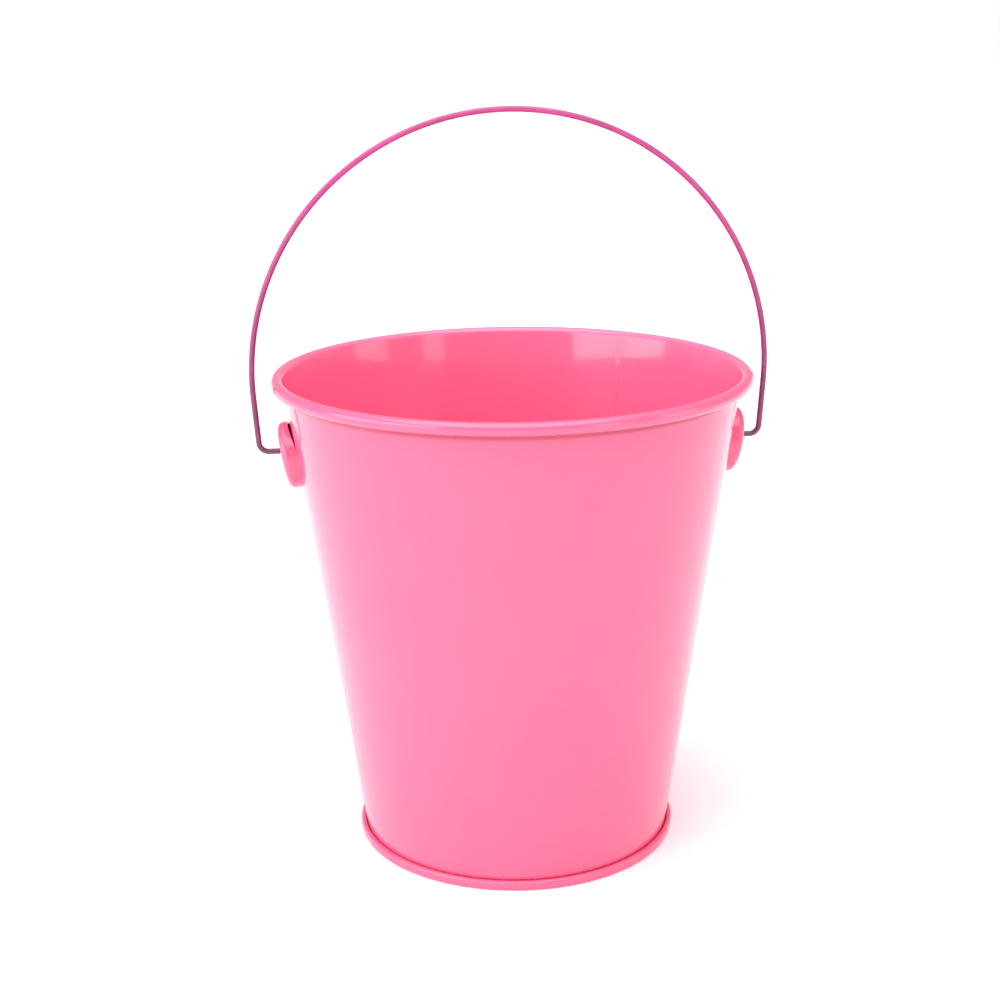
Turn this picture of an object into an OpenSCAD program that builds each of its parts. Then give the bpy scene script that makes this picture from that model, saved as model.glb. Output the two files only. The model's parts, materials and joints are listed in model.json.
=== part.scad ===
// Small painted steel pail: a conical wall with a rolled rim, a double-seamed bottom,
// two drawn ear cups that are clinched to the wall, and a swinging wire bail.
// The origin is on the floor at the pail's axis, +Z up, with the bail's hinge along X.

/* [Bucket] */
// Outer diameter across the rolled rim
rim_d = 116.5; // [90:0.5:145]
// Height from the floor to the top of the rim
height = 119; // [95:0.5:150]
// Outer diameter of the bottom seam
base_d = 80.5; // [62:0.5:96]
// Thickness of the painted sheet
sheet_t = 0.35; // [0.25:0.01:0.45]

/* [Rolled rim] */
// Outer diameter of the hollow roll
curl_d = 3.1; // [2.6:0.1:4]
// Gap between the sheet's rolled edge and the wall
curl_gap = 0.1; // [0.05:0.01:0.3]
// Height from the top of the wall's cone, where its flare starts, to the top of the rim
flare_h = 6.5; // [6:0.1:10]
// Lean of the flare that carries the roll, from upright
flare_lean = 9.5; // [9:0.5:24]
// Bend radius between the cone and the flare
flare_bend = 12; // [4:0.5:14]

/* [Bottom seam] */
// Height of the double seam
seam_h = 2.3; // [2.2:0.1:3.6]
// Gap left between the seam's layers
seam_gap = 0.1; // [0.03:0.01:0.12]
// Bend radius at the foot of the seam
seam_foot_r = 0.5; // [0.4:0.05:0.6]
// Gap between a hook's edge and the fold that it lies in
hook_gap = 0.1; // [0.05:0.01:0.2]
// Height of the floor panel above the ground
panel_z = 4; // [3.8:0.1:7]
// Radius of the middle of the floor panel's stiffening bead
bead_r = 26; // [16:0.5:28]
// Width of the bead's flat crown
bead_w = 3; // [2:0.1:5]
// Rise of the bead
bead_h = 0.9; // [0.5:0.1:1.4]

/* [Side weld] */
// Direction of the side weld, from the right ear towards the back
weld_azimuth = 52; // [30:1:150]
// Width of the lapped strip, as an angle
weld_angle = 1.4; // [0.8:0.1:3]
// How far the lap stands proud on each face
weld_step = 0.1; // [0.05:0.01:0.2]

/* [Ears] */
// Height of the hinge axis below the top of the rim
hinge_drop = 18.5; // [16:0.5:30]
// Outer diameter of an ear cup
ear_d = 16.4; // [13:0.1:20]
// Distance from the ear's mouth to the top of its dome
ear_depth = 3.3; // [2.9:0.1:6.5]
// Sheet thickness of the ears
ear_t = 0.5; // [0.35:0.05:0.6]
// Outer radius of the rounded edge round an ear's face
ear_edge_r = 1.6; // [1:0.1:2.2]
// Rise of the domed face above its edge
ear_dome = 0.45; // [0.2:0.05:0.9]
// How far the ear's centre sits below the hinge axis
ear_below = 0.8; // [0:0.1:2]
// How far the ear leans out from the wall, as an angle: it stands on the mouth's lowest point
ear_lean = 2; // [0.5:0.1:4]
// Paint line between that point and the wall
seat_gap = 0.02; // [0.01:0.01:0.05]
// Width of the two prongs that hold an ear, measured up the wall
prong_w = 3.6; // [2.5:0.1:5]
// Length of the part of a prong that is folded flat inside the wall
prong_leaf = 3.2; // [2:0.1:4.5]
// Gap round a prong in its slot
slot_gap = 0.1; // [0.05:0.01:0.2]

/* [Bail] */
// Diameter of the bail's painted wire
wire_d = 1.4; // [1.1:0.05:1.7]
// Gap between the rim and the wire beside it
bail_gap = 3.55; // [2.5:0.05:6]
// Height of the middle of the bail's arch above the hinge
arch_y = 17.4; // [14:0.1:24]
// Lean of the bail's straight legs, from upright
leg_lean = 3.5; // [1.5:0.5:6]
// Centreline radius of the bend from a leg to its pivot
bend_r = 2.3; // [1.4:0.1:2.6]
// Radial clearance of the wire in an ear's hole
pivot_gap = 0.08; // [0.04:0.01:0.1]
// Straight wire between the ear's face and its hook, which is the bail's end play
hook_play = 0.7; // [0.4:0.1:0.9]
// Centreline radius of the hook inside an ear
hook_r = 1.2; // [1:0.1:1.4]
// Straight wire at the end of the hook
hook_tail = 1.4; // [0.8:0.1:2]

/* [Hidden] */
enamel = [1, 0.42, 0.62];
wire_enamel = [0.78, 0.3, 0.56];
arc_step = 12; // degrees of a bend between two points of a sheet's outline
$fn = 96;

// Radii of the double seam's layers, at mid-sheet, from the outside in
lap = sheet_t + seam_gap;
outer_r = base_d / 2 - sheet_t / 2;
body_hook_r = outer_r - lap;
base_hook_r = outer_r - 2 * lap;
neck_r = outer_r - 3 * lap;
chuck_r = outer_r - 4 * lap;

// Heights of the seam's folds, at mid-sheet
foot_z = sheet_t / 2;
body_foot_z = foot_z + lap;
seam_top_z = seam_h - sheet_t / 2;
body_hook_top = seam_top_z - lap - hook_gap;
base_hook_foot = body_foot_z + lap + hook_gap;

// Rolled rim, the flare that ends at a tangent on it, and the cone from the seam to the flare
roll_r = curl_d / 2 - sheet_t / 2;
roll_c = [rim_d / 2 - curl_d / 2, height - curl_d / 2];
flare_dir = [sin(flare_lean), cos(flare_lean)];
flare_top = roll_c + roll_r * [-cos(flare_lean), sin(flare_lean)];
flare_foot = flare_top - flare_dir * (flare_top[1] - height + flare_h) / flare_dir[1];
taper = atan((flare_foot[0] - neck_r) / (flare_foot[1] - seam_h));
tail_cos = (roll_r - sheet_t / 2 - curl_gap) / (roll_r + sheet_t / 2);
roll_turn = 360 - acos(tail_cos);
function mid_r(z) = neck_r + (z - seam_h) * tan(taper);
function wall_r(z) = mid_r(z) + sheet_t / 2 / cos(taper);

// Ears and hinge
hinge_z = height - hinge_drop;
ear_z = hinge_z - ear_below;
ear_r = ear_d / 2;
ear_tilt = taper + ear_lean;
ear_lift = ear_r * sin(ear_lean); // of the mouth's middle off the wall
face_r = ear_r - ear_edge_r;
dome_r = (face_r * face_r + ear_dome * ear_dome) / (2 * ear_dome);
prong_y = ear_r - ear_t;

// Bail, in its own plane: across, and up from the hinge
wire_r = wire_d / 2;
arch_r = rim_d / 2 + bail_gap + wire_r;
leg_foot_y = bend_r * (1 - sin(leg_lean));
leg_l = (arch_y - leg_foot_y) / cos(leg_lean);
ball_swell = 0.03;
ball_gap = 0.1; // between a ball's middle and the straight wire
pivot_out = arch_r - leg_l * sin(leg_lean) - bend_r * cos(leg_lean);
ear_top = ear_lift + ear_depth - ear_t; // underside of an ear's dome
ear_back = wall_r(ear_z) + (ear_top + ear_below * sin(ear_tilt)) / cos(ear_tilt);
pivot_l = pivot_out - (ear_back - hook_play);

// --- sheet outlines: a line of corners with bend radii, thickened to both sides ---

function unit(v) = v / norm(v);
function left_of(v) = [-v[1], v[0]];
function turn_of(u, v) = atan2(u[0] * v[1] - u[1] * v[0], u * v);

// Points of the bend of radius r at corner b, between a and c
function bend_at(a, b, c, r) =
    let (u = unit(b - a), v = unit(c - b), turn = turn_of(u, v))
    r == 0 || abs(turn) < 0.01 ? [b] :
    let (
        side = sign(turn),
        start = b - u * r * tan(abs(turn) / 2),
        centre = start + side * r * left_of(u),
        spoke = start - centre,
        steps = ceil(abs(turn) / arc_step)
    )
    [for (i = [0:steps]) let (a = turn * i / steps)
        centre + [spoke[0] * cos(a) - spoke[1] * sin(a), spoke[0] * sin(a) + spoke[1] * cos(a)]];

function without_doubles(p) = [for (i = [0:len(p) - 1]) if (i == 0 || norm(p[i] - p[i - 1]) > 0.001) p[i]];

// Corners as [x, y, bend radius], made into a line of points
function bent(corners) =
    let (n = len(corners), p = [for (c = corners) [c[0], c[1]]])
    without_doubles([for (i = [0:n - 1])
        each (i == 0 || i == n - 1) ? [p[i]] : bend_at(p[i - 1], p[i], p[i + 1], corners[i][2])]);

// The line moved d to its left, with mitred corners
function beside(p, d) =
    let (n = len(p))
    [for (i = [0:n - 1])
        let (
            m = left_of(unit(p[max(i, 1)] - p[max(i, 1) - 1])),
            k = left_of(unit(p[min(i + 1, n - 1)] - p[min(i + 1, n - 1) - 1]))
        )
        p[i] + d * (m + k) / (1 + m * k)];

function reversed(p) = [for (i = [len(p) - 1:-1:0]) p[i]];

module sheet(line, t) {
    polygon(concat(beside(line, t / 2), reversed(beside(line, -t / 2))));
}

// --- bucket ---

// Clockwise roll that starts where the flare's line touches it
function roll_points() =
    let (steps = ceil(roll_turn / arc_step))
    [for (i = [0:steps]) let (a = 180 - flare_lean - roll_turn * i / steps)
        roll_c + roll_r * [cos(a), sin(a)]];

module wall_outline() {
    hook = bent([
        [body_hook_r, body_hook_top],
        [body_hook_r, body_foot_z, lap],
        [neck_r, body_foot_z, lap],
        [neck_r, seam_h, 2],
        [flare_foot[0], flare_foot[1], flare_bend],
        roll_points()[0]
    ]);
    sheet(concat([for (i = [0:len(hook) - 2]) hook[i]], roll_points()), sheet_t);
}

// The lapped strip of the side weld, between the seam and the roll
module weld_outline() {
    low = seam_h + 1;
    high = roll_c[1] - curl_d / 2 - 0.4;
    end = flare_foot + flare_dir * (high - flare_foot[1]) / flare_dir[1];
    sheet(bent([[mid_r(low), low], [flare_foot[0], flare_foot[1], flare_bend], end]), sheet_t + 2 * weld_step);
}

module bucket_wall() {
    color(enamel) difference() {
        union() {
            rotate_extrude() wall_outline();
            rotate([0, 0, weld_azimuth - weld_angle / 2]) rotate_extrude(angle = weld_angle) weld_outline();
        }
        at_ears() slots();
    }
}

module base_pan() {
    slope = bead_h;
    inner = bead_r - bead_w / 2;
    outer = bead_r + bead_w / 2;
    line = bent([
        [0, panel_z],
        [inner - slope, panel_z, 0.8],
        [inner, panel_z + bead_h, 0.8],
        [outer, panel_z + bead_h, 0.8],
        [outer + slope, panel_z, 0.8],
        [chuck_r, panel_z, 1],
        [chuck_r, foot_z, seam_foot_r],
        [outer_r, foot_z, seam_foot_r],
        [outer_r, seam_top_z, lap],
        [base_hook_r, seam_top_z, lap],
        [base_hook_r, base_hook_foot]
    ]);
    color(enamel) rotate_extrude() sheet(line, sheet_t);
}

// --- ears ---

// Places a shape at the right ear: its Z out along the ear's axis, its Y up the mouth
module at_ear() {
    translate([wall_r(ear_z), 0, ear_z]) rotate([0, ear_tilt, 0]) rotate([90, 0, 90])
        translate([0, 0, ear_lift]) children();
}

module at_ears() {
    at_ear() children();
    mirror([1, 0, 0]) at_ear() children();
}

// Solid inside the wall's outer face moved out by d
module wall_cone(d) {
    out = d / cos(taper);
    low = ear_z - ear_d;
    high = ear_z + ear_d;
    translate([0, 0, low]) cylinder(h = high - low, r1 = wall_r(low) + out, r2 = wall_r(high) + out);
}

// The drawn cup, with a skirt that is long enough to make the prongs from
module ear_cup() {
    edge_r = ear_edge_r - ear_t / 2;
    mid_r = ear_r - ear_t / 2;
    shoulder = ear_depth - ear_t / 2 - ear_dome;
    crown = ear_depth - ear_t / 2 - dome_r;
    sweep = asin(face_r / dome_r);
    dome = [for (i = [0.5:1:3.5]) [dome_r * sin(sweep * i / 4), crown + dome_r * cos(sweep * i / 4)]];
    side = bent([dome[3], [mid_r, shoulder, edge_r], [mid_r, -ear_depth]]);
    line = concat([[0, dome[0][1]]], [for (i = [0:2]) dome[i]], side);
    rotate_extrude() sheet(line, ear_t);
}

// What is cut off the skirt: the wall's shape, before the ear is leaned, except at the prongs
module below_mouth() {
    difference() {
        rotate([-90, 0, 0]) rotate([0, 0, -90]) rotate([0, -taper, 0])
            translate([-wall_r(ear_z), 0, -ear_z]) wall_cone(seat_gap);
        cube([3 * ear_r, prong_w, 6 * ear_depth], center = true);
    }
}

// Slots in the wall for the curved prongs
module slots() {
    intersection() {
        difference() {
            cylinder(h = 2 * ear_depth, r = ear_r + slot_gap, center = true);
            cylinder(h = 3 * ear_depth, r = ear_r - ear_t - slot_gap, center = true);
        }
        cube([3 * ear_r, prong_w + 2 * slot_gap, 2.5 * ear_depth], center = true);
    }
}

// Where the prongs' folded leaves lie, before they are cut to the wall's inner face
module leaves() {
    reach = ear_t + prong_leaf;
    for (side = [-1, 1]) translate([side * (prong_y - 0.1 + reach / 2), 0, 0])
        cube([reach, prong_w, 2 * ear_depth], center = true);
}

module ear_right() {
    inside = sheet_t + seat_gap;
    color(enamel) {
        difference() {
            at_ear() difference() {
                ear_cup();
                below_mouth();
            }
            wall_cone(-inside - ear_t);
            translate([wall_r(hinge_z) + 1, 0, hinge_z]) rotate([0, 90, 0])
                cylinder(h = 3 * ear_depth, r = wire_r + pivot_gap);
        }
        difference() {
            intersection() {
                at_ear() leaves();
                wall_cone(-inside);
            }
            wall_cone(-inside - ear_t);
        }
    }
}

module ear_left() {
    mirror([1, 0, 0]) ear_right();
}

// --- bail ---

// A length of wire along +Y, with what follows it at its far end. A ball that is hardly proud
// of the wire joins each end to the bend there.
module straight(l) {
    for (y = [0, l]) translate([0, y]) sphere(r = wire_r + ball_swell);
    translate([0, ball_gap]) rotate([-90, 0, 0]) cylinder(h = l - 2 * ball_gap, r = wire_r);
    translate([0, l]) children();
}

// A bend to the right from +Y, with what follows it at its far end
module bend(r, turn) {
    translate([r, 0]) rotate([0, 0, 180 - turn]) rotate_extrude(angle = turn)
        translate([r, 0]) circle(r = wire_r);
    translate([r, 0]) rotate([0, 0, -turn]) translate([-r, 0]) children();
}

// From the arch's right end down to the hook in the right ear
module bail_end() {
    translate([arch_r, 0]) rotate([0, 0, 180 - leg_lean])
        straight(leg_l)
        bend(bend_r, 90 - leg_lean) straight(pivot_l)
        bend(hook_r, 90) straight(hook_tail);
}

module bail_wire() {
    color(wire_enamel) translate([0, 0, hinge_z + arch_y]) rotate([90, 0, 0]) {
        rotate_extrude(angle = 180) translate([arch_r, 0]) circle(r = wire_r);
        bail_end();
        mirror([1, 0, 0]) bail_end();
    }
}

bucket_wall();
base_pan();
ear_left();
ear_right();
bail_wire();
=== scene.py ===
"""A small pink enamelled steel pail with a rolled rim, clinched ear cups and a swinging wire bail.

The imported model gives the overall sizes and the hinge. Each piece is built here as a finer mesh of
bent or drawn sheet, in millimetres, and is turned into metres when its object is made.
"""

import json
import logging
import math
from collections.abc import Callable, Sequence
from dataclasses import dataclass
from enum import Enum

import bmesh
import bpy
import numpy as np
from mathutils import Matrix, Vector

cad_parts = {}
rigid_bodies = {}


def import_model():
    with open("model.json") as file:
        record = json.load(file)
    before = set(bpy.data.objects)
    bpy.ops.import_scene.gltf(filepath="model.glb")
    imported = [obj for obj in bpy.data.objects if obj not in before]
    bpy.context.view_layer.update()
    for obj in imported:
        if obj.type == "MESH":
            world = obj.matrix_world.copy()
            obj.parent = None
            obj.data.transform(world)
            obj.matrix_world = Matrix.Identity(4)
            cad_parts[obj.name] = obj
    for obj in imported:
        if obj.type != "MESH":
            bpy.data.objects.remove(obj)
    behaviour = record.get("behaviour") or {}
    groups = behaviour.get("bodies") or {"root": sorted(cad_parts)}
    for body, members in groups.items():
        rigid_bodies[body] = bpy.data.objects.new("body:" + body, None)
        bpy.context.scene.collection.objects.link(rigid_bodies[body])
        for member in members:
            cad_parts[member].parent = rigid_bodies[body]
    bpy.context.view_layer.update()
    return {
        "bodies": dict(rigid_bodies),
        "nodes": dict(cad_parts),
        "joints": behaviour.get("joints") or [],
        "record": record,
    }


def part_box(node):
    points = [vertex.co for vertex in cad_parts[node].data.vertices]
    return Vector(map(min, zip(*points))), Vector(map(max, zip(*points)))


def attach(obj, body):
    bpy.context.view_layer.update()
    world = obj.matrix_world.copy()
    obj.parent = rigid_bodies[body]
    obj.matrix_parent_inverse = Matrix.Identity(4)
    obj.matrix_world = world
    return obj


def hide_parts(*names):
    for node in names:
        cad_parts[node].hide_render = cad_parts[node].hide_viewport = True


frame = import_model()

MM = 0.001
LOG = logging.getLogger("pail")
RIM_INSET = 0.005  # keeps the rim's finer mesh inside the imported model's box, in millimetres
WIRE_R = 0.7  # the bail wire's radius, in millimetres

Point = tuple[float, float]
Corner = tuple[float, float, float]


# --- outlines of bent sheet -------------------------------------------------------------------


def unit(vector: np.ndarray) -> np.ndarray:
    """Returns the vector at length one."""
    return vector / np.linalg.norm(vector)


def left_of(vector: np.ndarray) -> np.ndarray:
    """Returns a plane vector turned a quarter turn to its left."""
    return np.array([-vector[1], vector[0]])


def arc(centre: Point, radius: float, start: float, end: float, step: float = 5.0) -> list[np.ndarray]:
    """Points along a circular arc in a plane.

    Args:
        centre: Middle of the circle.
        radius: Its radius.
        start: Angle of the first point, in degrees.
        end: Angle of the last point, in degrees.
        step: Largest angle between two points, in degrees.

    Returns:
        The points, both ends included.
    """
    count = max(2, math.ceil(abs(end - start) / step) + 1)
    return [
        np.array(centre) + radius * np.array([math.cos(a), math.sin(a)])
        for a in np.radians(np.linspace(start, end, count))
    ]


def bend_at(before: np.ndarray, corner: np.ndarray, after: np.ndarray, radius: float) -> list[np.ndarray]:
    """Points of the round bend that replaces one corner of a line.

    Args:
        before: The corner before it.
        corner: The corner that is rounded.
        after: The corner after it.
        radius: The bend's radius.

    Returns:
        The bend's points, or the corner alone where the line doesn't turn.
    """
    ahead, onward = unit(corner - before), unit(after - corner)
    turn = math.degrees(math.atan2(ahead[0] * onward[1] - ahead[1] * onward[0], ahead @ onward))
    if radius == 0 or abs(turn) < 0.01:
        return [corner]
    side = math.copysign(1, turn)
    start = corner - ahead * radius * math.tan(math.radians(abs(turn) / 2))
    centre = start + side * radius * left_of(ahead)
    spoke = start - centre
    first = math.degrees(math.atan2(spoke[1], spoke[0]))
    return arc(tuple(centre), radius, first, first + turn, step=9.0)


def bent_line(corners: Sequence[Corner]) -> np.ndarray:
    """Turns corners with bend radii into a smooth line.

    Args:
        corners: Each corner's two coordinates and its bend radius.

    Returns:
        The line's points, one row each.
    """
    flat = [np.array(c[:2]) for c in corners]
    line = [flat[0]]
    for before, corner, after, spec in zip(flat, flat[1:], flat[2:], corners[1:-1]):
        line += bend_at(before, corner, after, spec[2])
    line.append(flat[-1])
    kept = [line[0]]
    kept += [b for a, b in zip(line, line[1:]) if np.linalg.norm(b - a) > 1e-4]
    return np.array(kept)


def divided(line: np.ndarray, longest: float) -> np.ndarray:
    """Returns the line with extra points, so that no stretch of it is over the longest given."""
    out = [line[0]]
    for a, b in zip(line, line[1:]):
        count = max(1, math.ceil(np.linalg.norm(b - a) / longest))
        out += [a + (b - a) * i / count for i in range(1, count + 1)]
    return np.array(out)


def beside(line: np.ndarray, distance: float) -> np.ndarray:
    """Returns the line moved to its left by the distance, with mitred corners."""
    runs = np.diff(line, axis=0)
    normals = np.array([left_of(unit(r)) for r in runs])
    first = np.vstack([normals[:1], normals])
    second = np.vstack([normals, normals[-1:]])
    spread = 1 + np.sum(first * second, axis=1, keepdims=True)
    return line + distance * (first + second) / spread


def sheet_outline(line: np.ndarray, thickness: float) -> tuple[np.ndarray, np.ndarray]:
    """The closed outline of a sheet seen edge on.

    Args:
        line: The sheet's mid-line.
        thickness: Its thickness.

    Returns:
        The outline's points, and for each one the skin that it lies on: 1 on the line's left
        and -1 on its right.
    """
    left, right = beside(line, thickness / 2), beside(line, -thickness / 2)[::-1]
    skins = np.concatenate([np.ones(len(left)), -np.ones(len(right))])
    return np.vstack([left, right]), skins


# --- meshes -----------------------------------------------------------------------------------


def make_object(name: str, vertices: np.ndarray, faces: Sequence[Sequence[int]], sharp_angle: float = 38.0
                ) -> bpy.types.Object:
    """Makes a closed, smooth-shaded mesh object.

    Args:
        name: The piece's name.
        vertices: Points in millimetres, one row each.
        faces: Rows of vertex numbers.
        sharp_angle: Edges that turn by more than this many degrees stay sharp.

    Returns:
        The new object, in metres.
    """
    mesh = bpy.data.meshes.new(name)
    mesh.from_pydata((np.asarray(vertices) * MM).tolist(), [], [list(f) for f in faces])
    build = bmesh.new()
    build.from_mesh(mesh)
    bmesh.ops.remove_doubles(build, verts=build.verts, dist=1e-7)
    bmesh.ops.dissolve_degenerate(build, edges=build.edges, dist=1e-8)
    bmesh.ops.recalc_face_normals(build, faces=build.faces)
    limit = math.radians(sharp_angle)
    for face in build.faces:
        face.smooth = True
    for edge in build.edges:
        edge.smooth = edge.calc_face_angle(0.0) < limit
    build.to_mesh(mesh)
    build.free()
    made = bpy.data.objects.new(name, mesh)
    bpy.context.scene.collection.objects.link(made)
    return made


def ring_faces(columns: int, rows: int, closed_columns: bool, closed_rows: bool) -> list[tuple[int, ...]]:
    """Quads that join a grid of points.

    Args:
        columns: Number of columns, each of which holds the rows one after another.
        rows: Number of points in a column.
        closed_columns: Whether the last column joins the first.
        closed_rows: Whether a column's last point joins its first.

    Returns:
        The faces as rows of point numbers.
    """
    faces = []
    for c in range(columns if closed_columns else columns - 1):
        d = (c + 1) % columns
        for r in range(rows if closed_rows else rows - 1):
            s = (r + 1) % rows
            faces.append((c * rows + r, d * rows + r, d * rows + s, c * rows + s))
    return faces


def revolved(name: str, outline: np.ndarray, angles: np.ndarray,
             shape: Callable[[float, np.ndarray], np.ndarray] | None = None) -> bpy.types.Object:
    """Spins a closed outline of radius and height round the pail's axis.

    Args:
        name: The piece's name.
        outline: The outline's points.
        angles: Directions of the mesh's columns, in radians.
        shape: Gives each outline point's radius for one direction, from the direction and the
            plain radii. Without it the piece is perfectly round.

    Returns:
        The new object.
    """
    rows = []
    for angle in angles:
        radius = outline[:, 0] if shape is None else shape(angle, outline[:, 0])
        rows.append(np.column_stack([radius * math.cos(angle), radius * math.sin(angle), outline[:, 1]]))
    faces = ring_faces(len(angles), len(outline), True, True)
    axis = outline[:, 0] < 1e-6
    n = len(outline)
    kept = []
    for face in faces:
        if axis[face[0] % n] and axis[face[3] % n]:
            continue
        kept.append(face)
    return make_object(name, np.vstack(rows), kept)


def swept_wire(name: str, path: np.ndarray, radii: np.ndarray, sides: int = 20) -> bpy.types.Object:
    """Sweeps a round wire along a path, with rounded cut ends.

    Args:
        name: The piece's name.
        path: Points of the wire's centre line, in millimetres.
        radii: The wire's radius at each point.
        sides: Points round the wire.

    Returns:
        The new object.
    """
    tangents = np.gradient(path, axis=0)
    tangents /= np.linalg.norm(tangents, axis=1, keepdims=True)
    side = np.array([0.0, 1.0, 0.0])
    turns = np.linspace(0, 2 * math.pi, sides, endpoint=False)
    rings = []
    for point, tangent, radius in zip(path, tangents, radii):
        across = unit(side - tangent * (side @ tangent))
        up = np.cross(tangent, across)
        rings.append(point + radius * (np.outer(np.cos(turns), across) + np.outer(np.sin(turns), up)))
    faces = ring_faces(len(path), sides, False, True)
    faces.append(tuple(range(sides)))
    faces.append(tuple(range((len(path) - 1) * sides, len(path) * sides)))
    return make_object(name, np.vstack(rings), faces)


# --- finishes ---------------------------------------------------------------------------------


def linear(red: int, green: int, blue: int) -> tuple[float, float, float, float]:
    """Returns a colour given in 0 to 255 screen steps as linear light, with full alpha."""
    steps = [v / 255 for v in (red, green, blue)]
    return (*[v / 12.92 if v <= 0.04045 else ((v + 0.055) / 1.055) ** 2.4 for v in steps], 1.0)


class Shader:
    """A material's node tree, with short calls that add and join its nodes."""

    def __init__(self, name: str) -> None:
        """Starts an empty material with a Principled surface.

        Args:
            name: The material's name.
        """
        self.material = bpy.data.materials.new(name)
        self.material.use_nodes = True
        self.tree = self.material.node_tree
        self.surface = self.tree.nodes["Principled BSDF"]
        self.place = self.tree.nodes.new("ShaderNodeTexCoord").outputs["Object"]

    def node(self, kind: str, inputs: dict[str | int, object] | None = None,
             **settings: object) -> bpy.types.Node:
        """Adds one node.

        Args:
            kind: The node's type name.
            inputs: Values or other nodes' outputs for its sockets.
            settings: Properties of the node.

        Returns:
            The node.
        """
        made = self.tree.nodes.new(kind)
        for key, value in settings.items():
            setattr(made, key, value)
        for key, value in (inputs or {}).items():
            if isinstance(value, bpy.types.NodeSocket):
                self.tree.links.new(value, made.inputs[key])
            else:
                made.inputs[key].default_value = value
        return made

    def noise(self, per_metre: float, detail: float = 2.0, roughness: float = 0.5) -> bpy.types.NodeSocket:
        """Returns a noise value from about 0.3 to 0.7, with this many waves in a metre."""
        inputs = {"Vector": self.place, "Scale": per_metre, "Detail": detail, "Roughness": roughness}
        return self.node("ShaderNodeTexNoise", inputs).outputs["Fac"]

    def remap(self, value: bpy.types.NodeSocket, low: float, high: float, new_low: float = 0.0,
              new_high: float = 1.0, smooth: bool = False) -> bpy.types.NodeSocket:
        """Returns the value stretched from one range to another, and clamped to it."""
        inputs = {"Value": value, "From Min": low, "From Max": high, "To Min": new_low, "To Max": new_high}
        kind = "SMOOTHSTEP" if smooth else "LINEAR"
        return self.node("ShaderNodeMapRange", inputs, interpolation_type=kind).outputs["Result"]

    def maths(self, operation: str, first: object, second: object = 0.0) -> bpy.types.NodeSocket:
        """Returns the result of one sum on two values."""
        return self.node("ShaderNodeMath", {0: first, 1: second}, operation=operation).outputs[0]

    def mix(self, factor: object, first: object, second: object) -> bpy.types.NodeSocket:
        """Returns a blend of two colours."""
        inputs = {"Factor": factor, "A": first, "B": second}
        made = self.node("ShaderNodeMix", data_type="RGBA")
        sockets = {"Factor": made.inputs[0], "A": made.inputs[6], "B": made.inputs[7]}
        for key, value in inputs.items():
            if isinstance(value, bpy.types.NodeSocket):
                self.tree.links.new(value, sockets[key])
            else:
                sockets[key].default_value = value
        return made.outputs[2]

    def bump(self, height: bpy.types.NodeSocket, distance: float, strength: float = 1.0,
             under: bpy.types.NodeSocket | None = None) -> bpy.types.NodeSocket:
        """Returns a normal that is tilted by a height, given in metres of relief."""
        inputs = {"Height": height, "Distance": distance, "Strength": strength}
        if under is not None:
            inputs["Normal"] = under
        return self.node("ShaderNodeBump", inputs).outputs["Normal"]

    def feed(self, socket: str, value: bpy.types.NodeSocket) -> None:
        """Joins a value to one of the surface's sockets."""
        self.tree.links.new(value, self.surface.inputs[socket])


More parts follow.
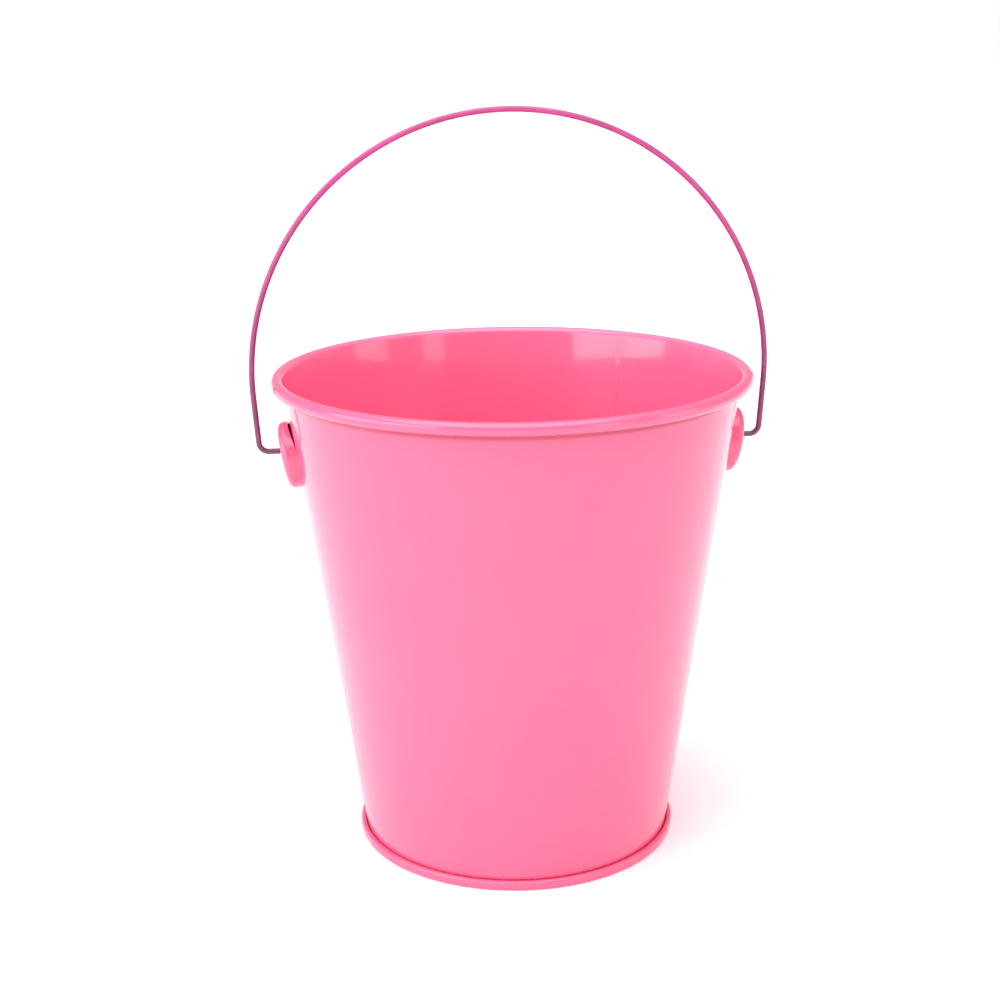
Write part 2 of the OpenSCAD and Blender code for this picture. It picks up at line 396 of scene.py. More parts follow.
@dataclass(frozen=True)
class PinkEnamel:
    """Glossy stoving enamel on tinplate, with soft orange peel and darker corners: partly thicker paint,
    partly painted shade.
    """

    colour: tuple[float, float, float, float] = linear(253, 100, 141)
    deep: tuple[float, float, float, float] = linear(249, 86, 127)
    # Lighter pink for the inner faces: painted light, to brighten the pail's inside.
    inside: tuple[float, float, float, float] = linear(254, 113, 156)
    # Dark pink for the corners: partly pooled paint, partly painted shade.
    pooled_paint_and_shade: tuple[float, float, float, float] = linear(150, 44, 74)
    peel_per_metre: float = 520.0
    peel_height: float = 0.000012
    roughness: float = 0.13
    coat: float = 0.35
    coat_roughness: float = 0.05
    seam_top: float = 2.3
    crevice_r: float = 38.9
    rim_foot: float = 115.9
    # Strength of the painted shade line on the outside under the rim's roll.
    rim_shade_line: float = 0.9
    # How far the corners go to the dark pink: pooled paint and painted shade.
    shade_and_pooling: float = 0.8

    def outside_mask(self, shader: Shader) -> bpy.types.NodeSocket:
        """Tells the pail's outer faces from its inner ones.

        Args:
            shader: The material's nodes.

        Returns:
            A value that is 1 on faces turned away from the pail's axis and 0 on the others.
        """
        facing = shader.node("ShaderNodeTexCoord").outputs["Normal"]
        flat = shader.node("ShaderNodeVectorMath", {0: shader.place, 1: (1, 1, 0)}, operation="MULTIPLY")
        both = {0: flat.outputs[0], 1: facing}
        turned = shader.node("ShaderNodeVectorMath", both, operation="DOT_PRODUCT")
        return shader.maths("GREATER_THAN", turned.outputs["Value"], 0.0)

    def shade_and_pooling_mask(self, shader: Shader, outside: bpy.types.NodeSocket) -> bpy.types.NodeSocket:
        """Where the corners are painted darker: pooled paint and painted shade in the bottom seam's crevice,
        and a painted shade line under the rim's roll.

        Args:
            shader: The material's nodes.
            outside: What outside_mask() returned.

        Returns:
            A value that is 1 in the corners and 0 elsewhere.
        """
        place = shader.node("ShaderNodeSeparateXYZ", {0: shader.place})
        height = place.outputs["Z"]
        squares = [shader.maths("MULTIPLY", place.outputs[axis], place.outputs[axis]) for axis in ("X", "Y")]
        radius = shader.maths("SQRT", shader.maths("ADD", *squares))

        def band(line: float, low: float, high: float, start: float, end: float) -> bpy.types.NodeSocket:
            """Returns a soft step in height, between two distances from a line round the pail."""
            return shader.remap(height, (line + low) * MM, (line + high) * MM, start, end, smooth=True)

        # The bottom seam's crevice: pooled paint and painted shade, made patchy.
        low = band(self.seam_top, 0.02, 0.45, 1.0, 0.0)
        floor = band(self.seam_top, -0.3, -0.05, 0.0, 1.0)
        inward = shader.remap(radius, (self.crevice_r + 0.1) * MM, (self.crevice_r + 0.45) * MM, 1.0, 0.0)
        seam_shade_and_pooling = shader.maths("MULTIPLY", shader.maths("MULTIPLY", low, floor), inward)
        patchy = shader.remap(shader.noise(900.0, 3.0), 0.3, 0.6, 0.45, 1.0)
        ragged = shader.maths("MULTIPLY", seam_shade_and_pooling, patchy)
        # Painted shade: a dark line on the outer wall just under the rim's roll.
        rim = band(self.rim_foot, -1.9, -0.8, 0.0, self.rim_shade_line)
        above = band(self.rim_foot, 0.1, 0.6, 1.0, 0.0)
        rim_shade = shader.maths("MULTIPLY", shader.maths("MULTIPLY", rim, above), outside)
        return shader.maths("MAXIMUM", ragged, rim_shade)

    def build(self, name: str = "pink_enamel") -> bpy.types.Material:
        """Makes the enamel's material.

        Args:
            name: The material's name.

        Returns:
            The material.
        """
        shader = Shader(name)
        surface = shader.surface
        surface.inputs["IOR"].default_value = 1.5
        surface.inputs["Coat Weight"].default_value = self.coat
        surface.inputs["Coat Roughness"].default_value = self.coat_roughness
        cloudy = shader.remap(shader.noise(38.0, 3.0, 0.55), 0.34, 0.68)
        tone = shader.mix(cloudy, self.colour, self.deep)
        outside = self.outside_mask(shader)
        # Inner faces take the lighter pink: painted light.
        body = shader.mix(outside, self.inside, shader.mix(0.22, self.colour, tone))
        # Darker corners: pooled paint and painted shade.
        corner = self.shade_and_pooling_mask(shader, outside)
        shade_and_pooling = shader.maths("MULTIPLY", corner, self.shade_and_pooling)
        shader.feed("Base Color", shader.mix(shade_and_pooling, body, self.pooled_paint_and_shade))
        smears = shader.remap(shader.noise(65.0, 4.0, 0.6), 0.42, 0.7, 0.0, 0.07)
        fine = shader.remap(shader.noise(2600.0, 2.0), 0.3, 0.7, -0.015, 0.02)
        gloss = shader.maths("ADD", shader.maths("ADD", smears, fine), self.roughness)
        shader.feed("Roughness", gloss)
        slow = shader.bump(shader.noise(self.peel_per_metre / 5, 1.0), self.peel_height * 3)
        peel = shader.bump(shader.noise(self.peel_per_metre, 2.0, 0.4), self.peel_height, under=slow)
        scatter = {"Vector": shader.place, "Scale": 120.0, "Randomness": 1.0}
        specks = shader.node("ShaderNodeTexVoronoi", scatter)
        nib = shader.remap(specks.outputs["Distance"], 0.0, 0.035, 1.0, 0.0, smooth=True)
        shader.feed("Normal", shader.bump(nib, 0.00003, under=peel))
        return shader.material


@dataclass(frozen=True)
class WireEnamel:
    """Thin mauve-pink enamel on steel wire, rubbed to grey at the bent ends, with painted shade down its
    legs.
    """

    colour: tuple[float, float, float, float] = linear(205, 72, 142)
    deep: tuple[float, float, float, float] = linear(112, 38, 84)
    rubbed: tuple[float, float, float, float] = linear(104, 84, 96)
    hinge_z: float = 100.5
    rub_reach: float = 6.0

    def build(self, name: str = "wire_enamel") -> bpy.types.Material:
        """Makes the wire's material.

        Args:
            name: The material's name.

        Returns:
            The material.
        """
        shader = Shader(name)
        surface = shader.surface
        surface.inputs["IOR"].default_value = 1.5
        surface.inputs["Coat Weight"].default_value = 0.15
        surface.inputs["Coat Roughness"].default_value = 0.12
        height = shader.node("ShaderNodeSeparateXYZ", {0: shader.place}).outputs["Z"]
        top = (self.hinge_z + self.rub_reach) * MM
        end = shader.remap(height, (self.hinge_z + 0.8) * MM, top, 1.0, 0.0, smooth=True)
        patchy = shader.remap(shader.noise(700.0, 4.0, 0.6), 0.36, 0.58)
        rub = shader.maths("MULTIPLY", end, patchy)
        thin = shader.remap(shader.noise(160.0, 3.0), 0.35, 0.68)
        # Painted shade: the wire darkens down its legs towards the ears.
        leg_shade = shader.remap(height, (self.hinge_z + 5) * MM, (self.hinge_z + 60) * MM, 0.75, 0.1, smooth=True)
        darker = shader.maths("ADD", shader.maths("MULTIPLY", thin, 0.25), leg_shade)
        body = shader.mix(darker, self.colour, self.deep)
        chips = shader.remap(shader.noise(1500.0, 2.0, 0.7), 0.68, 0.72, 0.0, 0.5)
        bare = shader.maths("MAXIMUM", rub, chips)
        shader.feed("Base Color", shader.mix(bare, body, self.rubbed))
        shader.feed("Metallic", shader.maths("MULTIPLY", rub, 0.6))
        shader.feed("Roughness", shader.remap(shader.noise(800.0, 3.0), 0.3, 0.7, 0.26, 0.42))
        wavy = shader.bump(shader.noise(260.0, 2.0), 0.00003)
        shader.feed("Normal", shader.bump(shader.noise(2200.0, 3.0), 0.000012, under=wavy))
        return shader.material


@dataclass(frozen=True)
class StudioPaper:
    """Matt pale paper that the pail stands on."""

    colour: tuple[float, float, float, float] = linear(250, 250, 251)

    def build(self, name: str = "studio_paper") -> bpy.types.Material:
        """Makes the paper's material.

        Args:
            name: The material's name.

        Returns:
            The material.
        """
        shader = Shader(name)
        shader.surface.inputs["Base Color"].default_value = self.colour
        shader.surface.inputs["Roughness"].default_value = 0.9
        shader.feed("Normal", shader.bump(shader.noise(900.0, 3.0), 0.00002))
        return shader.material


# --- the pail ---------------------------------------------------------------------------------


@dataclass(frozen=True)
class PailSizes:
    """Sizes that the pail's pieces share, in millimetres."""

    rim_r: float
    height: float
    base_r: float
    hinge_z: float
    bail_top: float
    wire_r: float
    sheet: float = 0.35
    curl_d: float = 3.1
    curl_gap: float = 0.1
    flare_h: float = 6.5
    flare_lean: float = 9.5
    flare_bend: float = 12.0
    seam_h: float = 2.3
    seam_gap: float = 0.1

    @classmethod
    def from_frame(cls, packed: dict) -> "PailSizes":
        """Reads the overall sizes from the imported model.


        Returns:
            The sizes.
        """
        wall_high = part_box("bucket_wall")[1] / MM
        base_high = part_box("base_pan")[1] / MM
        bail_low, bail_high = (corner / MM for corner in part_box("bail_wire"))
        hinge = packed["joints"][0]["pos_m"]
        wire_r = (bail_high.y - bail_low.y) / 2
        return cls(rim_r=wall_high.x - RIM_INSET, height=wall_high.z, base_r=base_high.x,
                   hinge_z=hinge[2] / MM, bail_top=bail_high.z, wire_r=min(wire_r, WIRE_R))

    @property
    def lap(self) -> float:
        """Pitch of the bottom seam's layers."""
        return self.sheet + self.seam_gap

    @property
    def outer_r(self) -> float:
        """Mid-sheet radius of the bottom seam's outermost layer."""
        return self.base_r - self.sheet / 2

    @property
    def neck_r(self) -> float:
        """Mid-sheet radius of the wall where it leaves the bottom seam."""
        return self.outer_r - 3 * self.lap

    @property
    def roll_r(self) -> float:
        """Mid-sheet radius of the rim's roll."""
        return (self.curl_d - self.sheet) / 2

    @property
    def roll_centre(self) -> np.ndarray:
        """Middle of the rim's roll, as radius and height."""
        return np.array([self.rim_r - self.curl_d / 2, self.height - self.curl_d / 2])

    @property
    def flare(self) -> tuple[np.ndarray, np.ndarray]:
        """The flare's foot on the wall's cone and its top on the roll, as radius and height."""
        lean = math.radians(self.flare_lean)
        top = self.roll_centre + self.roll_r * np.array([-math.cos(lean), math.sin(lean)])
        drop = top[1] - (self.height - self.flare_h)
        return top - np.array([math.tan(lean), 1.0]) * drop, top

    @property
    def taper(self) -> float:
        """The slope of the wall's cone from upright, in radians."""
        foot = self.flare[0]
        return math.atan2(foot[0] - self.neck_r, foot[1] - self.seam_h)

    def mid_r(self, z: float) -> float:
        """Returns the radius of the wall's mid-sheet at a height."""
        return self.neck_r + (z - self.seam_h) * math.tan(self.taper)

    def wall_r(self, z: float, depth: float = 0.0) -> float:
        """Returns the radius of the wall's outer face at a height, or of a face this deep in it."""
        return self.mid_r(z) + (self.sheet / 2 - depth) / math.cos(self.taper)


@dataclass
class PailBody:
    """The rolled wall and the drawn bottom that its lower edge is seamed to."""

    sizes: PailSizes
    weld_azimuth: float = 52.0
    weld_width: float = 1.3
    weld_step: float = 0.1
    wobble: float = 0.06
    columns: int = 288
    panel_z: float = 4.0
    bead_r: float = 26.0
    bead_w: float = 3.0
    bead_h: float = 0.9

    def directions(self) -> np.ndarray:
        """The wall mesh's columns, with extra ones at the edges of the side weld.

        Returns:
            Their directions in radians, in order.
        """
        even = np.linspace(0, 360, self.columns, endpoint=False)
        reach = math.degrees(self.weld_width / 2 / self.sizes.rim_r)
        steps = [-1.6, -1.15, -0.95, -0.8, -0.4, 0.0, 0.4, 0.8, 0.95, 1.15, 1.6]
        close = np.array([self.weld_azimuth + reach * s for s in steps])
        clear = np.min(np.abs(even[:, None] - close[None, :]), axis=1) > reach * 0.5
        return np.radians(np.sort(np.concatenate([even[clear], close])))

    def wall_line(self) -> np.ndarray:
        """Mid-line of the wall's sheet, from its hook in the bottom seam up and round the roll.

        Returns:
            The line's points, as radius and height.
        """
        s = self.sizes
        hook_r, foot = s.outer_r - s.lap, s.sheet / 2 + s.lap
        hook_top = s.seam_h - s.sheet / 2 - s.lap - 0.1
        inner = s.roll_r - s.sheet / 2 - s.curl_gap
        turn = 360 - math.degrees(math.acos(inner / (s.roll_r + s.sheet / 2)))
        roll = arc(tuple(s.roll_centre), s.roll_r, 180 - s.flare_lean, 180 - s.flare_lean - turn, step=7.5)
        hook = bent_line([
            (hook_r, hook_top, 0),
            (hook_r, foot, s.lap),
            (s.neck_r, foot, s.lap),
            (s.neck_r, s.seam_h, 2),
            (*s.flare[0], s.flare_bend),
            (*roll[0], 0),
        ])
        return np.vstack([divided(hook, 2.4), np.array(roll[1:])])

    def wall_shape(self, outline: np.ndarray, skins: np.ndarray) -> Callable[[float, np.ndarray], np.ndarray]:
        """Makes the rule that gives the wall its weld and the slight waves of rolled sheet.

        Args:
            outline: The wall's outline.
            skins: The skin of each of its points.

        Returns:
            A function of direction and plain radii that gives the real radii.
        """
        s = self.sizes
        z = outline[:, 1]
        high = s.flare[0][1] - 0.8
        on_cone = (np.abs(outline[:, 0] - np.array([s.mid_r(h) for h in z])) < s.sheet) & (z < high + 1)
        fade = np.clip((z - s.seam_h - 1) / 1.0, 0, 1) * np.clip((high - z) / 1.0, 0, 1) * on_cone
        calm = np.sin(np.pi * np.clip((z - 6) / (high - 8), 0, 1)) ** 2 * on_cone
        weld = math.radians(self.weld_azimuth)

        def shape(angle: float, radii: np.ndarray) -> np.ndarray:
            """Returns the radii for one direction."""
            off = abs(math.remainder(angle - weld, 2 * math.pi)) * s.rim_r / (self.weld_width / 2)
            proud = self.weld_step * min(1.0, max(0.0, (1.15 - off) / 0.2))
            waves = (math.sin(2 * angle + 0.6) + 0.7 * np.sin(3 * angle + 2.1 + z * 0.02)
                     + 0.5 * np.sin(5 * angle + 0.9 - z * 0.035) + 0.3 * np.sin(8 * angle + z * 0.05))
            return radii - skins * proud * fade + self.wobble * waves * calm

        return shape

    def base_line(self) -> np.ndarray:
        """Mid-line of the bottom's sheet, from the floor panel's middle out into the seam.

        Returns:
            The line's points, as radius and height.
        """
        s = self.sizes
        foot, top = s.sheet / 2, s.seam_h - s.sheet / 2
        chuck_r, hook_r = s.outer_r - 4 * s.lap, s.outer_r - 2 * s.lap
        inner, outer = self.bead_r - self.bead_w / 2, self.bead_r + self.bead_w / 2
        return divided(bent_line([
            (0, self.panel_z, 0),
            (inner - self.bead_h, self.panel_z, 0.8),
            (inner, self.panel_z + self.bead_h, 0.8),
            (outer, self.panel_z + self.bead_h, 0.8),
            (outer + self.bead_h, self.panel_z, 0.8),
            (chuck_r, self.panel_z, 1),
            (chuck_r, foot, 0.5),
            (s.outer_r, foot, 0.5),
            (s.outer_r, top, s.lap),
            (hook_r, top, s.lap),
            (hook_r, foot + 2 * s.lap + 0.1, 0),
        ]), 2.4)

    def build(self, enamel: bpy.types.Material) -> list[bpy.types.Object]:
        """Makes and dresses the wall and the bottom.

        Args:
            enamel: The pail's finish.

        Returns:
            The two pieces.
        """
        outline, skins = sheet_outline(self.wall_line(), self.sizes.sheet)
        wall = revolved("rolled_wall", outline, self.directions(), self.wall_shape(outline, skins))
        floor_outline, _ = sheet_outline(self.base_line(), self.sizes.sheet)
        even = np.radians(np.linspace(0, 360, self.columns, endpoint=False))
        bottom = revolved("seamed_bottom", floor_outline, even)
        for piece, node in ((wall, "bucket_wall"), (bottom, "base_pan")):
            piece.data.materials.append(enamel)
            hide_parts(node)
            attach(piece, "pail")
            LOG.info("%s: %d faces", piece.name, len(piece.data.polygons))
        return [wall, bottom]


class Side(Enum):
    """Which side of the pail an ear is on."""

    LEFT = -1
    RIGHT = 1


@dataclass
class Ear:
    """A drawn cup whose two prongs go through the wall and are folded flat inside it."""

    sizes: PailSizes
    side: Side
    diameter: float = 16.4
    depth: float = 3.3
    sheet: float = 0.5
    edge_r: float = 1.6
    dome: float = 0.45
    below: float = 0.8
    lean: float = 2.0
    seat_gap: float = 0.02
    open_above: float = 2.4
    open_slope: float = 0.13
    hole_gap: float = 0.08
    prong_w: float = 3.6
    prong_leaf: float = 3.2
    columns: int = 96

    @property
    def centre_z(self) -> float:
        """Height of the ear's centre on the wall."""
        return self.sizes.hinge_z - self.below

    @property
    def tilt(self) -> float:
        """The ear's slope from upright: the wall's own and its lean."""
        return self.sizes.taper + math.radians(self.lean)

    @property
    def lift(self) -> float:
        """How far the mouth's middle is off the wall, as the ear stands on the mouth's lowest point."""
        return self.diameter / 2 * math.sin(math.radians(self.lean))

    @property
    def back(self) -> float:
        """How far the underside of the dome is from the pail's axis, at the hinge."""
        under = self.lift + self.depth - self.sheet
        reach = (under + self.below * math.sin(self.tilt)) / math.cos(self.tilt)
        return self.sizes.wall_r(self.centre_z) + reach

    def placed(self, local: np.ndarray) -> np.ndarray:
        """Moves points from the ear's own frame to the pail's.

        Args:
            local: Points as across, up the ear's mouth and out from it.

        Returns:
            The points in the pail's frame, on this ear's side.
        """
        c, s = math.cos(self.tilt), math.sin(self.tilt)
        out, up = np.array([c, 0, -s]), np.array([s, 0, c])
        origin = np.array([self.sizes.wall_r(self.centre_z), 0, self.centre_z]) + out * self.lift
        world = origin + local @ np.array([[0, 1, 0], up, out])
        world[:, 0] *= self.side.value
        return world

    def wall_level(self, across: float, up: float, depth: float = 0.0) -> float:
        """Finds how far out the wall's face lies at a place of the ear's frame.

        Args:
            across: Distance from the ear's centre, round the pail.
            up: Distance from the ear's centre, up its mouth.
            depth: How deep in the wall's sheet the face lies.

        Returns:
            The face's distance out from the ear's origin, which is negative inside.
        """
        c, s = math.cos(self.tilt), math.sin(self.tilt)
        level = -depth
        start = self.sizes.wall_r(self.centre_z)
        for _ in range(8):
            out = level + self.lift
            x = start + s * up + c * out
            z = self.centre_z + c * up - s * out
            level -= (math.hypot(x, across) - self.sizes.wall_r(z, depth)) * c
        return level

    def skin_line(self, inside: bool) -> np.ndarray:
        """One skin of the cup, from the edge of its dome to its skirt, as radius and height out.

        Args:
            inside: Whether this is the inner skin.

        Returns:
            The line's points, from the dome's edge down the skirt's round shoulder.
        """
        r = self.diameter / 2
        inset = self.sheet if inside else 0.0
        edge = self.edge_r - inset
        face = r - self.edge_r
        shoulder = self.depth - self.dome - self.edge_r
        lean = math.degrees(math.atan2(2 * self.dome, face))
        return np.array(arc((face, shoulder), edge, 90 - lean, 0, step=8.0))

    def dome_level(self, radius: np.ndarray, inside: bool) -> np.ndarray:
        """Returns the dome's height out from the wall at distances from the ear's axis."""
        face = self.diameter / 2 - self.edge_r
        edge_top = self.skin_line(inside)[0]
        ball = (face**2 + self.dome**2) / (2 * self.dome)
        drop = ball - math.sqrt(ball**2 - edge_top[0] ** 2)
        return edge_top[1] + drop - (ball - np.sqrt(ball**2 - np.minimum(radius, edge_top[0]) ** 2))

    def skin(self, inside: bool) -> np.ndarray:
        """Rings of one skin of the cup, from the bail's hole out to the mouth.

        Args:
            inside: Whether this is the inner skin.

        Returns:
            Points as rings, columns and the three coordinates of the ear's frame.
        """
        turns = np.linspace(0, 2 * math.pi, self.columns, endpoint=False)
        ring = np.column_stack([np.cos(turns), np.sin(turns)])
        line = self.skin_line(inside)
        hole_r = self.sizes.wire_r + self.hole_gap
        level = float(self.dome_level(np.array([self.below]), inside)[0])
        shift = (level + self.lift) * math.tan(self.tilt)
        hole = np.array([0.0, self.below / math.cos(self.tilt) + shift])
        rings = []
        shares = [0.0, 0.02, 0.05, 0.1, 0.18, 0.3, 0.45, 0.6, 0.75, 0.88, 1.0]
        for share in shares:
            middle = hole * (1 - share)
            radius = hole_r + (line[0][0] - hole_r) * share
            flat = middle + ring * radius
            out = self.dome_level(np.hypot(flat[:, 0], flat[:, 1]), inside)
            lip = 0.06 * math.exp(-share / 0.03)
            rings.append(np.column_stack([flat, out + (lip if inside else -lip)]))
        for radius, out in line[1:]:
            rings.append(np.column_stack([ring * radius, np.full(self.columns, out)]))
        radius, top = line[-1]
        mouth = np.array([self.mouth_level(*(point * radius)) for point in ring])
        for share in (0.25, 0.5, 0.75, 0.94, 1.0):
            rings.append(np.column_stack([ring * radius, top + (mouth - top) * share]))
        return np.array(rings)

    def mouth_level(self, across: float, up: float) -> float:
        """Returns where the skirt ends: on the wall low down, and clear of it above the middle."""
        clear = max(0.0, up - self.open_above) * self.open_slope
        return self.wall_level(across, up, -self.seat_gap) + clear

    def cup(self) -> bpy.types.Object:
        """Makes the drawn cup with the bail's hole in it.

        Returns:
            The cup's object.
        """
        outer, inner = self.skin(False), self.skin(True)[::-1]
        rings = np.concatenate([outer, inner])
        faces = ring_faces(len(rings), self.columns, True, True)
        return make_object(self.name("ear_cup"), self.placed(rings.reshape(-1, 3)), faces)

    def prong(self, hand: int) -> bpy.types.Object:
        """Makes one prong, through the wall and folded flat away from the cup inside it.

        Args:
            hand: 1 or -1, the side of the cup that it is on.

        Returns:
            The prong's object.
        """
        start = self.diameter / 2 - self.sheet / 2
        under = self.sizes.sheet + self.seat_gap + self.sheet / 2
        half = self.prong_w / 2
        line = bent_line([
            (start, self.mouth_level(start, 0) + 0.3, 0),
            (start, -under + self.wall_level(start, 0), 0.45),
            (start + self.prong_leaf * 0.6, -under + self.wall_level(start + self.prong_leaf * 0.6, 0), 6),
            (start + self.prong_leaf, -under + self.wall_level(start + self.prong_leaf, 0), 0),
        ])
        line = divided(line, 0.4)
        left, right = beside(line, self.sheet / 2), beside(line, -self.sheet / 2)
        widths = np.full(len(line), half)
        run = np.concatenate([[0], np.cumsum(np.linalg.norm(np.diff(line, axis=0), axis=1))])
        to_end = run[-1] - run
        nose = 1.1
        near = to_end < nose
        widths[near] = half - nose + np.sqrt(np.maximum(0, nose**2 - (nose - to_end[near]) ** 2))
        upright = np.clip((line[:, 1] - line[-1, 1] - 0.6) / 0.8, 0, 1)
        rows = [self.prong_section(a, b, w, flat) for a, b, w, flat in zip(left, right, widths, upright)]
        points = np.array(rows)
        points[:, :, 0] *= hand
        count = points.shape[1]
        faces = ring_faces(len(points), count, False, True)
        faces += [tuple(range(count)), tuple(range((len(points) - 1) * count, len(points) * count))]
        tag = "back" if hand > 0 else "front"
        return make_object(self.name(f"ear_prong_{tag}"), self.placed(points.reshape(-1, 3)), faces, 50.0)

    def prong_section(self, outer: np.ndarray, inner: np.ndarray, half: float, curved: float) -> np.ndarray:
        """One cross-section of a prong, which keeps the skirt's curve until it is folded flat.

        Args:
            outer: Middle of one face, as across and out.
            inner: Middle of the other face.
            half: Half the prong's width here.
            curved: 1 where it is as curved as the skirt and 0 where it is flat.

        Returns:
            The section's points in the ear's frame, for the prong at the back.
        """
        round_off = 0.1
        thick = unit(inner - outer) * round_off
        ups = np.linspace(-half + round_off, half - round_off, 7)
        edge = [(outer + thick, -half), *[(outer, u) for u in ups], (outer + thick, half)]
        edge += [(inner - thick, half), *[(inner, u) for u in ups[::-1]], (inner - thick, -half)]
        radius = self.diameter / 2
        sag = [curved * (radius - math.sqrt(radius**2 - u**2)) for _, u in edge]
        return np.array([[p[0] - drop, u, p[1]] for (p, u), drop in zip(edge, sag)])

    def name(self, stem: str) -> str:
        """Returns a piece's name with this ear's side."""
        return f"{stem}_{self.side.name.lower()}"

    def build(self, enamel: bpy.types.Material) -> list[bpy.types.Object]:
        """Makes and dresses the ear.

        Args:
            enamel: The pail's finish.

        Returns:
            The cup and its prongs.
        """
        pieces = [self.cup(), self.prong(1), self.prong(-1)]
        for piece in pieces:
            piece.data.materials.append(enamel)
            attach(piece, "pail")
            LOG.info("%s: %d faces", piece.name, len(piece.data.polygons))
        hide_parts(f"ear_{self.side.name.lower()}")
        return pieces


@dataclass
class Bail:
    """One length of wire, bent by hand over a former and hooked into both ears."""

    sizes: PailSizes
    ear_back: float
    arch_y: float = 17.4
    cut_round: tuple[float, float, float] = (0.72, 0.93, 1.0)
    leg_lean: float = 3.8
    bend_r: float = 2.3
    hook_play: float = 0.7
    hook_r: float = 1.2
    hook_tail: float = 1.4
    bow: float = 0.22

    def half_line(self) -> np.ndarray:
        """Centre line from the middle of the arch down to the hook on the right.

        Returns:
            Points across and up from the hinge.
        """
        s = self.sizes
        arch_r = s.bail_top - s.wire_r - s.hinge_z - self.arch_y
        arch = arc((0, self.arch_y), arch_r, 90, -self.leg_lean, step=1.25)
        top = arch[-1]
        corner_x = top[0] - top[1] * math.tan(math.radians(self.leg_lean))
        hook_x = self.ear_back - self.hook_play - self.hook_r
        rest = bent_line([
            (*top, 0),
            (corner_x, 0, self.bend_r),
            (hook_x, 0, self.hook_r),
            (hook_x, self.hook_r + self.hook_tail, 0),
        ])
        return np.vstack([np.array(arch), divided(rest, 0.8)[1:]])

    def path(self) -> np.ndarray:
        """The whole centre line in the pail's frame, with the slight bow of hand-bent wire.

        Returns:
            Points in millimetres.
        """
        half = self.half_line()
        flat = np.vstack([half[::-1] * [-1, 1], half[1:]])
        top = flat[:, 1].max()
        rise = np.clip(flat[:, 1] / top, 0, 1)
        bow = self.bow * np.sin(math.pi * rise) * np.sin(0.05 * flat[:, 0] + 0.5)
        return np.column_stack([flat[:, 0], bow, flat[:, 1] + self.sizes.hinge_z])

    def build(self, enamel: bpy.types.Material) -> bpy.types.Object:
        """Makes and dresses the bail.

        Args:
            enamel: The wire's finish.

        Returns:
            The wire.
        """
        path = self.path()
        radii = np.full(len(path), self.sizes.wire_r)
        cut = np.array(self.cut_round)
        radii[:3] *= cut
        radii[-3:] *= cut[::-1]
        start, end = unit(path[0] - path[1]) * 0.02, unit(path[-1] - path[-2]) * 0.02
        path = np.vstack([path[:1] + start, path[1:-1], path[-1:] + end])
        wire = swept_wire("bail_wire_drawn", path, radii)
        wire.data.materials.append(enamel)
        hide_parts("bail_wire")
        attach(wire, "bail")
        LOG.info("%s: %d faces", wire.name, len(wire.data.polygons))
        return wire


# --- the studio -------------------------------------------------------------------------------


@dataclass(frozen=True)
class Panel:
    """A soft light panel that faces the pail, as the brightness of its white face."""

    name: str
    azimuth: float
    elevation: float
    distance: float
    width: float
    height: float
    brightness: float

    @property
    def power(self) -> float:
        """The power, in watts, that gives the face its brightness."""
        return self.brightness * math.pi * self.width * self.height


@dataclass(frozen=True)
class Viewpoint:
    """Where the camera stands, in metres, and how it is turned from facing the pail's axis."""

    place: tuple[float, float, float] = (-0.04441, -0.40190, 0.20190)
    yaw: float = 0.460
    pitch: float = -16.021
    roll: float = -0.71047
    lens: float = 61.09
    film: float = 36.0


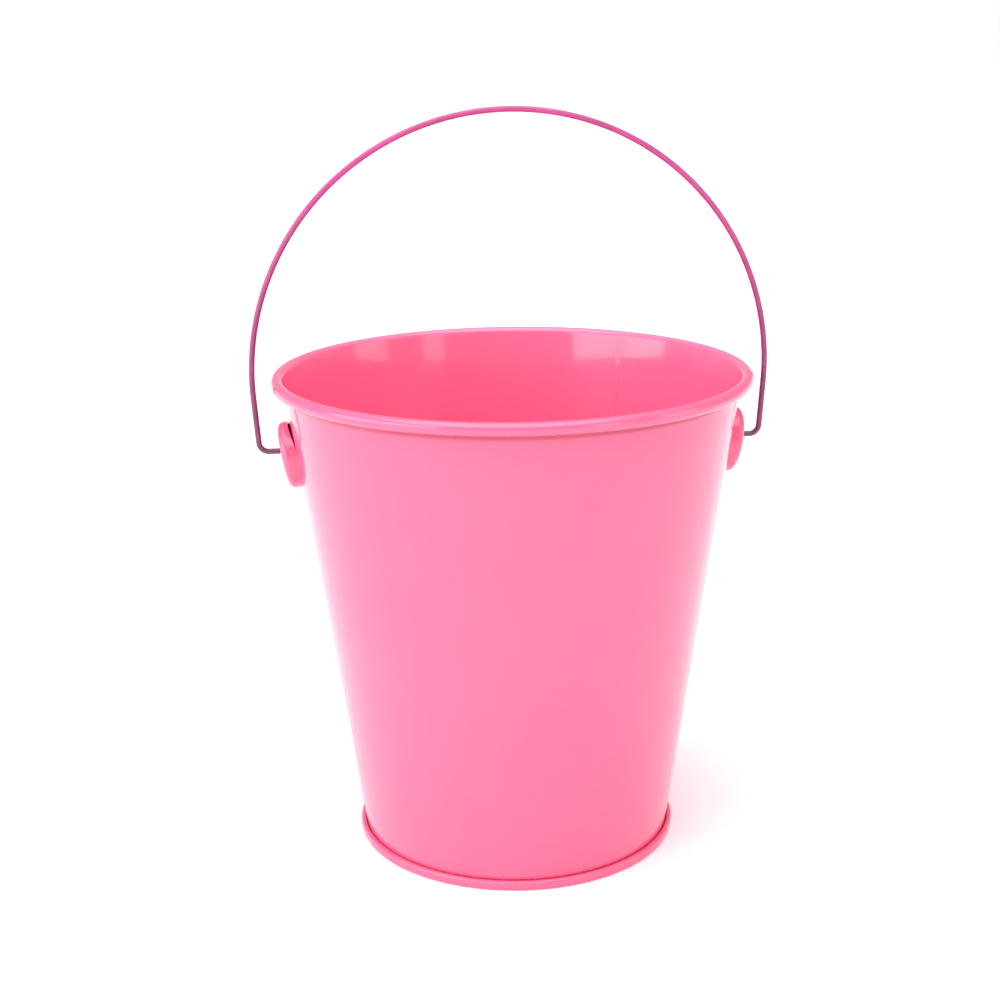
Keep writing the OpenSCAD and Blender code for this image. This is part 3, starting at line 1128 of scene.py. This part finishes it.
@dataclass
class Studio:
    """Pale floor, white surround, soft panels and the camera."""

    aim_z: float = 0.115
    floor_half: float = 6.0
    surround: float = 1.0
    dim: float = 0.36
    dim_low: tuple[float, float] = (0.03, 0.12)
    dim_high: tuple[float, float] = (0.82, 0.6)
    sky_power: float = 2.4
    sky_spread: float = 70.0
    sky_tilt: tuple[float, float] = (12.0, -6.0)
    viewpoint: Viewpoint = Viewpoint()
    panels: tuple[Panel, ...] = (
        Panel("left_window", -68.5, 16.0, 1.2, 1.26, 0.62, 3.3),
        Panel("right_strip", 37.4, 16.0, 1.2, 0.26, 0.62, 1.8),
        Panel("right_window", 76.0, 16.0, 1.2, 0.45, 0.62, 1.8),
    )

    def lay_floor(self, paper: bpy.types.Material) -> None:
        """Lays the paper floor.

        Args:
            paper: Its finish.
        """
        half = self.floor_half
        mesh = bpy.data.meshes.new("studio_floor")
        corners = [(-half, -half, 0), (half, -half, 0), (half, half, 0), (-half, half, 0)]
        mesh.from_pydata(corners, [], [(0, 1, 2, 3)])
        mesh.materials.append(paper)
        floor = bpy.data.objects.new("studio_floor", mesh)
        bpy.context.scene.collection.objects.link(floor)

    def hang_panels(self) -> None:
        """Hangs the soft panels round the pail, each facing it."""
        target = Vector((0, 0, self.aim_z))
        for panel in self.panels:
            a, e = math.radians(panel.azimuth), math.radians(panel.elevation)
            out = Vector((math.sin(a) * math.cos(e), -math.cos(a) * math.cos(e), math.sin(e)))
            light = bpy.data.lights.new(panel.name, "AREA")
            light.shape = "RECTANGLE"
            light.size, light.size_y = panel.width, panel.height
            light.energy = panel.power
            lamp = bpy.data.objects.new(panel.name, light)
            lamp.location = target + out * panel.distance
            lamp.rotation_mode = "QUATERNION"
            lamp.rotation_quaternion = out.to_track_quat("Z", "Y")
            bpy.context.scene.collection.objects.link(lamp)

    def light_surround(self) -> None:
        """Makes the white surround, which is dimmer low down, and the soft overhead sky light."""
        world = bpy.data.worlds.new("white_surround")
        world.use_nodes = True
        tree = world.node_tree
        ground = tree.nodes["Background"]
        ground.inputs["Color"].default_value = (1, 1, 1, 1)
        parts = tree.nodes.new("ShaderNodeSeparateXYZ")
        tree.links.new(tree.nodes.new("ShaderNodeTexCoord").outputs["Generated"], parts.inputs[0])
        steps = []
        for start, end in (self.dim_low, self.dim_high):
            ramp = tree.nodes.new("ShaderNodeMapRange")
            ramp.interpolation_type = "SMOOTHSTEP"
            ramp.inputs["From Min"].default_value = min(start, end)
            ramp.inputs["From Max"].default_value = max(start, end)
            ramp.inputs["To Min"].default_value = float(start > end)
            ramp.inputs["To Max"].default_value = float(start < end)
            tree.links.new(parts.outputs["Z"], ramp.inputs["Value"])
            steps.append(ramp.outputs["Result"])
        both = tree.nodes.new("ShaderNodeMath")
        both.operation = "MULTIPLY"
        for step, socket in zip(steps, both.inputs):
            tree.links.new(step, socket)
        level = tree.nodes.new("ShaderNodeMapRange")
        level.inputs["To Min"].default_value = self.surround
        level.inputs["To Max"].default_value = self.dim
        tree.links.new(both.outputs[0], level.inputs["Value"])
        tree.links.new(level.outputs["Result"], ground.inputs["Strength"])
        bpy.context.scene.world = world
        sky = bpy.data.lights.new("sky", "SUN")
        sky.energy = self.sky_power
        sky.angle = math.radians(self.sky_spread)
        lamp = bpy.data.objects.new("sky", sky)
        lamp.rotation_euler = (*[math.radians(turn) for turn in self.sky_tilt], 0)
        bpy.context.scene.collection.objects.link(lamp)

    def set_camera(self) -> None:
        """Places the camera in front of the pail, a little to its left and looking down at it."""
        view = self.viewpoint
        place = Vector(view.place)
        yaw, pitch, roll = (math.radians(turn) for turn in (view.yaw, view.pitch, view.roll))
        ahead = Vector((-place.x, -place.y, 0)).normalized()
        ahead = Matrix.Rotation(yaw, 3, "Z") @ ahead
        right = ahead.cross(Vector((0, 0, 1)))
        ahead = Vector((0, 0, 1)) * math.sin(pitch) + ahead * math.cos(pitch)
        up = right.cross(ahead)
        right_rolled = right * math.cos(roll) + up * math.sin(roll)
        up_rolled = up * math.cos(roll) - right * math.sin(roll)
        lens = bpy.data.cameras.new("camera")
        lens.sensor_width = view.film
        lens.lens = view.lens
        lens.clip_start, lens.clip_end = 0.01, 50.0
        camera = bpy.data.objects.new("camera", lens)
        turned = Matrix((right_rolled, up_rolled, -ahead)).transposed().to_4x4()
        camera.matrix_world = Matrix.Translation(place) @ turned
        bpy.context.scene.collection.objects.link(camera)
        bpy.context.scene.camera = camera

    def build(self) -> None:
        """Sets up the whole studio."""
        self.lay_floor(StudioPaper().build())
        self.hang_panels()
        self.light_surround()
        self.set_camera()
        bpy.context.scene.view_settings.view_transform = "Standard"
        LOG.info("studio: %d panels", len(self.panels))


def main() -> None:
    """Builds the pail and its studio, piece by piece."""
    logging.basicConfig(level=logging.INFO, format="%(name)s: %(message)s")
    sizes = PailSizes.from_frame(frame)
    Studio().build()
    pink = PinkEnamel().build()
    PailBody(sizes).build(pink)
    ears = [Ear(sizes, side) for side in Side]
    for ear in ears:
        ear.build(pink)
    Bail(sizes, ear_back=ears[-1].back).build(WireEnamel(hinge_z=sizes.hinge_z).build())


if __name__ == "__main__":
    main()
